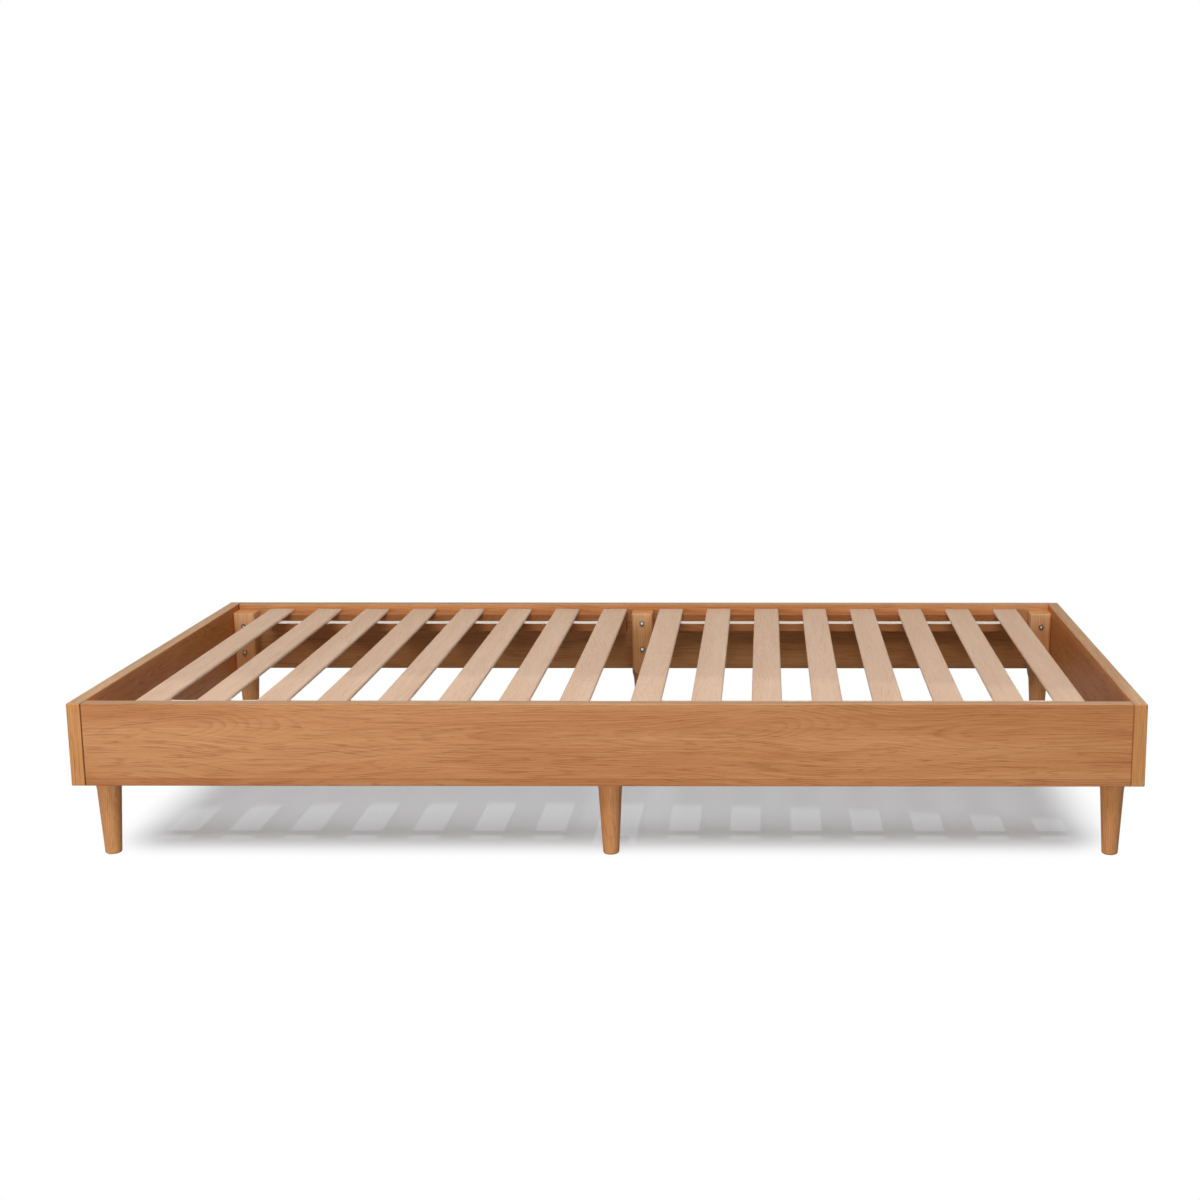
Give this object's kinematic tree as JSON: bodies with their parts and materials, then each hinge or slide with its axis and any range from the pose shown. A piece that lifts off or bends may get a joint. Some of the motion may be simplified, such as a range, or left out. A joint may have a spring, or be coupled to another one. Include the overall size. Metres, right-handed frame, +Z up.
{
  "type": "slatted floor bed",
  "caption": "Low rectangular bed frame: flat boards round loose webbed slats on ledger strips, on short tapered round legs bolted inside the side boards.",
  "frame": {"origin": "on the floor, under the middle of the bed", "axes": "+X along the bed's length to the right as seen from the front, +Y towards the back, +Z up"},
  "size_m": [1.94, 0.98, 0.295],
  "materials": {
    "board_veneer": "satin",
    "leg_wood": "satin",
    "ledger_wood": "satin",
    "dowel_wood": "raw",
    "slat_wood": "satin",
    "webbing_fabric": "woven",
    "bolt_steel": "bright zinc",
    "screw_steel": "zinc",
    "staple_steel": "bright",
    "insert_brass": "plain"
  },
  "bodies": {
    "frame": {"side_rail_front": "board_veneer", "leg_front_left": "leg_wood", "leg_front_middle": "leg_wood", "leg_front_right": "leg_wood", "ledger_front_left": "ledger_wood", "ledger_front_right": "ledger_wood", "side_rail_back": "board_veneer", "leg_back_left": "leg_wood", "leg_back_middle": "leg_wood", "leg_back_right": "leg_wood", "ledger_back_left": "ledger_wood", "ledger_back_right": "ledger_wood", "end_panel_left": "board_veneer", "end_panel_right": "board_veneer", "rail_bolts_front_left": "bolt_steel", "rail_bolts_front_middle": "bolt_steel", "rail_bolts_front_right": "bolt_steel", "rail_inserts_front": "insert_brass", "panel_bolts_front_left": "bolt_steel", "ledger_screws_front_left": "screw_steel", "panel_bolts_front_right": "bolt_steel", "ledger_screws_front_right": "screw_steel", "rail_bolts_back_left": "bolt_steel", "rail_bolts_back_middle": "bolt_steel", "rail_bolts_back_right": "bolt_steel", "rail_inserts_back": "insert_brass", "panel_bolts_back_left": "bolt_steel", "ledger_screws_back_left": "screw_steel", "panel_bolts_back_right": "bolt_steel", "ledger_screws_back_right": "screw_steel", "panel_inserts_left": "insert_brass", "corner_dowels_left": "dowel_wood", "panel_inserts_right": "insert_brass", "corner_dowels_right": "dowel_wood"},
    "slat_pack_left": {"slat_01": "slat_wood", "slat_02": "slat_wood", "slat_03": "slat_wood", "slat_04": "slat_wood", "slat_05": "slat_wood", "slat_06": "slat_wood", "slat_07": "slat_wood", "slat_08": "slat_wood", "webbing_left_front": "webbing_fabric", "webbing_left_back": "webbing_fabric", "staples_left_front": "staple_steel", "staples_left_back": "staple_steel"},
    "slat_pack_right": {"slat_09": "slat_wood", "slat_10": "slat_wood", "slat_11": "slat_wood", "slat_12": "slat_wood", "slat_13": "slat_wood", "slat_14": "slat_wood", "slat_15": "slat_wood", "slat_16": "slat_wood", "webbing_right_front": "webbing_fabric", "webbing_right_back": "webbing_fabric", "staples_right_front": "staple_steel", "staples_right_back": "staple_steel"}
  },
  "joints": [
    {"name": "slat_pack_left_lift", "type": "slide", "parent": "frame", "child": "slat_pack_left", "axis": [0, 0, 1], "range_m": [0, 0.3]},
    {"name": "slat_pack_right_lift", "type": "slide", "parent": "frame", "child": "slat_pack_right", "axis": [0, 0, 1], "range_m": [0, 0.3]}
  ]
}
